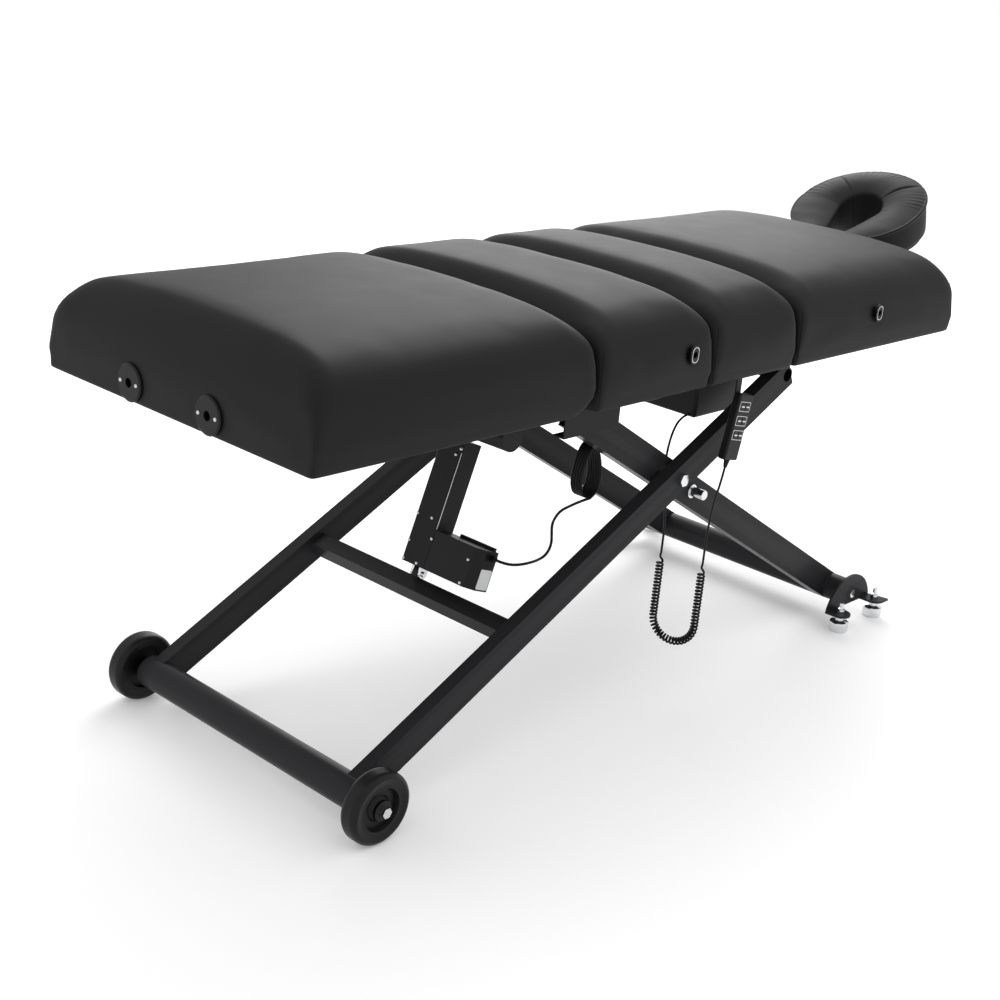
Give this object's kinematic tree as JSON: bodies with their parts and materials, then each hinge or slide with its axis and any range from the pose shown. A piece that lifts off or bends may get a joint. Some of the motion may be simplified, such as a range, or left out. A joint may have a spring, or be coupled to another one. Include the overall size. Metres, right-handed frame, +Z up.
{
  "type": "beauty treatment table",
  "caption": "Sectioned upholstered treatment table on an electric scissor lift, with wheels, levelling feet, a wired handset and a tilting face cradle.",
  "frame": {"origin": "on the floor, under the middle of the whole length and width", "axes": "+X along the table to the head end with the face cradle, +Y across to the far side, +Z up"},
  "size_m": [2.1374, 0.7108, 0.9177],
  "materials": {
    "vinyl": "satin black upholstery vinyl",
    "powder_coat": "gloss black powder coat",
    "chrome_steel": "bright chrome",
    "black_steel": "satin black",
    "black_plastic": "fine matt",
    "button_rubber": "matt",
    "tyre": "matt",
    "nylon": "satin",
    "cable": "satin"
  },
  "bodies": {
    "feet": {"foot_near": "powder_coat", "foot_far": "powder_coat", "glides": "chrome_steel", "wing_nuts": "chrome_steel"},
    "inner_frame": {"inner_tube_near": "powder_coat", "inner_tube_far": "powder_coat", "lower_cross_tube": "powder_coat", "upper_cross_tube": "powder_coat", "slide_rollers": "nylon", "pivot_bolts": "chrome_steel", "stop_pegs": "chrome_steel", "cable_hank": "cable"},
    "outer_frame": {"outer_tube_near": "powder_coat", "outer_tube_far": "powder_coat", "wheel_cross_tube": "powder_coat", "mid_rail": "powder_coat", "top_pivots": "powder_coat", "wheel_axles": "chrome_steel"},
    "lift_actuator": {"lift_column": "black_plastic", "lift_motor": "black_plastic", "lift_fork": "chrome_steel", "lift_cable": "cable"},
    "lift_piston": {"lift_rod": "chrome_steel"},
    "wheel_near": {"tyre_near": "tyre", "hub_near": "black_plastic"},
    "wheel_far": {"tyre_far": "tyre", "hub_far": "black_plastic"},
    "top_frame": {"top_rail_near": "powder_coat", "top_rail_far": "powder_coat", "cross_ties": "powder_coat", "roller_channels": "powder_coat", "hinge_ears": "black_steel", "seat_cushion": "vinyl", "middle_cushion": "vinyl", "seat_sockets": "black_plastic", "control_box": "black_plastic", "handset_hook": "black_steel", "handset": "black_plastic", "handset_cord": "cable", "control_cable": "cable"},
    "leg_section": {"leg_cushion": "vinyl", "leg_brackets": "black_steel", "foot_sockets": "black_plastic"},
    "back_section": {"back_cushion": "vinyl", "back_brackets": "black_steel", "back_sockets": "black_plastic", "cradle_sockets": "black_plastic"},
    "leg_drive": {"leg_actuator": "black_plastic"},
    "leg_piston": {"leg_rod": "chrome_steel"},
    "back_drive": {"back_actuator": "black_plastic"},
    "back_piston": {"back_rod": "chrome_steel"},
    "cradle_arms": {"cradle_frame": "powder_coat"},
    "cradle_head": {"cradle_platform": "black_plastic", "cradle_pad": "vinyl"},
    "button_1_left": {"button_1_left": "button_rubber"},
    "button_1_right": {"button_1_right": "button_rubber"},
    "button_2_left": {"button_2_left": "button_rubber"},
    "button_2_right": {"button_2_right": "button_rubber"},
    "button_3_left": {"button_3_left": "button_rubber"},
    "button_3_right": {"button_3_right": "button_rubber"}
  },
  "joints": [
    {"name": "lift", "type": "hinge", "parent": "feet", "child": "inner_frame", "pos_m": [0.6173, 0, 0.065], "axis": [0, 1, 0], "range_deg": [-4.8, 4], "deforming": ["control_cable", "lift_cable"]},
    {"name": "scissor", "type": "hinge", "parent": "inner_frame", "child": "outer_frame", "pos_m": [-0.0787, 0, 0.468], "axis": [0, 1, 0], "range_deg": [-9, 10]},
    {"name": "top_level", "type": "hinge", "parent": "outer_frame", "child": "top_frame", "pos_m": [0.24248, 0, 0.63], "axis": [0, 1, 0], "range_deg": [-5, 4.5]},
    {"name": "lift_tilt", "type": "hinge", "parent": "outer_frame", "child": "lift_actuator", "pos_m": [-0.50367, 0, 0.28399], "axis": [0, 1, 0], "range_deg": [-1, 1]},
    {"name": "lift_stroke", "type": "slide", "parent": "lift_actuator", "child": "lift_piston", "axis": [0.3393, 0, 0.9407], "range_m": [-0.055, 0.046]},
    {"name": "wheel_near_spin", "type": "hinge", "parent": "outer_frame", "child": "wheel_near", "pos_m": [-0.8777, -0.326, 0.065], "axis": [0, 1, 0], "continuous": true},
    {"name": "wheel_far_spin", "type": "hinge", "parent": "outer_frame", "child": "wheel_far", "pos_m": [-0.8777, 0.326, 0.065], "axis": [0, 1, 0], "continuous": true},
    {"name": "leg_section", "type": "hinge", "parent": "top_frame", "child": "leg_section", "pos_m": [-0.4357, 0, 0.798], "axis": [0, 1, 0], "range_deg": [0, 30]},
    {"name": "leg_tilt", "type": "hinge", "parent": "top_frame", "child": "leg_drive", "pos_m": [-0.4227, -0.1, 0.592], "axis": [0, 1, 0], "range_deg": [0, 24]},
    {"name": "leg_stroke", "type": "slide", "parent": "leg_drive", "child": "leg_piston", "axis": [-0.9903, 0, 0.1387], "range_m": [0, 0.1]},
    {"name": "back_section", "type": "hinge", "parent": "top_frame", "child": "back_section", "pos_m": [0.1698, 0, 0.798], "axis": [0, -1, 0], "range_deg": [0, 45]},
    {"name": "back_tilt", "type": "hinge", "parent": "top_frame", "child": "back_drive", "pos_m": [-0.1397, 0.1, 0.52], "axis": [0, -1, 0], "range_deg": [0, 4]},
    {"name": "back_stroke", "type": "slide", "parent": "back_drive", "child": "back_piston", "axis": [0.9473, 0, 0.3204], "range_m": [0, 0.126]},
    {"name": "cradle_slide", "type": "slide", "parent": "back_section", "child": "cradle_arms", "axis": [1, 0, 0], "range_m": [0, 0.06]},
    {"name": "cradle_tilt", "type": "hinge", "parent": "cradle_arms", "child": "cradle_head", "pos_m": [0.8203, 0, 0.76], "axis": [0, -1, 0], "range_deg": [-18, 12]},
    {"name": "button_1_left", "type": "slide", "parent": "top_frame", "child": "button_1_left", "axis": [0, 1, 0], "range_m": [0, 0.001], "stiffness_N_per_m": 1500},
    {"name": "button_1_right", "type": "slide", "parent": "top_frame", "child": "button_1_right", "axis": [0, 1, 0], "range_m": [0, 0.001], "stiffness_N_per_m": 1500},
    {"name": "button_2_left", "type": "slide", "parent": "top_frame", "child": "button_2_left", "axis": [0, 1, 0], "range_m": [0, 0.001], "stiffness_N_per_m": 1500},
    {"name": "button_2_right", "type": "slide", "parent": "top_frame", "child": "button_2_right", "axis": [0, 1, 0], "range_m": [0, 0.001], "stiffness_N_per_m": 1500},
    {"name": "button_3_left", "type": "slide", "parent": "top_frame", "child": "button_3_left", "axis": [0, 1, 0], "range_m": [0, 0.001], "stiffness_N_per_m": 1500},
    {"name": "button_3_right", "type": "slide", "parent": "top_frame", "child": "button_3_right", "axis": [0, 1, 0], "range_m": [0, 0.001], "stiffness_N_per_m": 1500}
  ],
  "couplings": [
    {"joint": "scissor", "follows": "lift", "ratio": -1.8717},
    {"joint": "top_level", "follows": "lift", "ratio": 0.8717},
    {"joint": "lift_tilt", "follows": "lift", "ratio": 0.0824},
    {"joint": "lift_stroke", "follows": "lift", "m_per_rad": 0.63476},
    {"joint": "leg_tilt", "follows": "leg_section", "ratio": 0.7753},
    {"joint": "leg_stroke", "follows": "leg_section", "m_per_rad": 0.18827},
    {"joint": "back_tilt", "follows": "back_section", "ratio": 0.0829},
    {"joint": "back_stroke", "follows": "back_section", "m_per_rad": 0.15743}
  ]
}
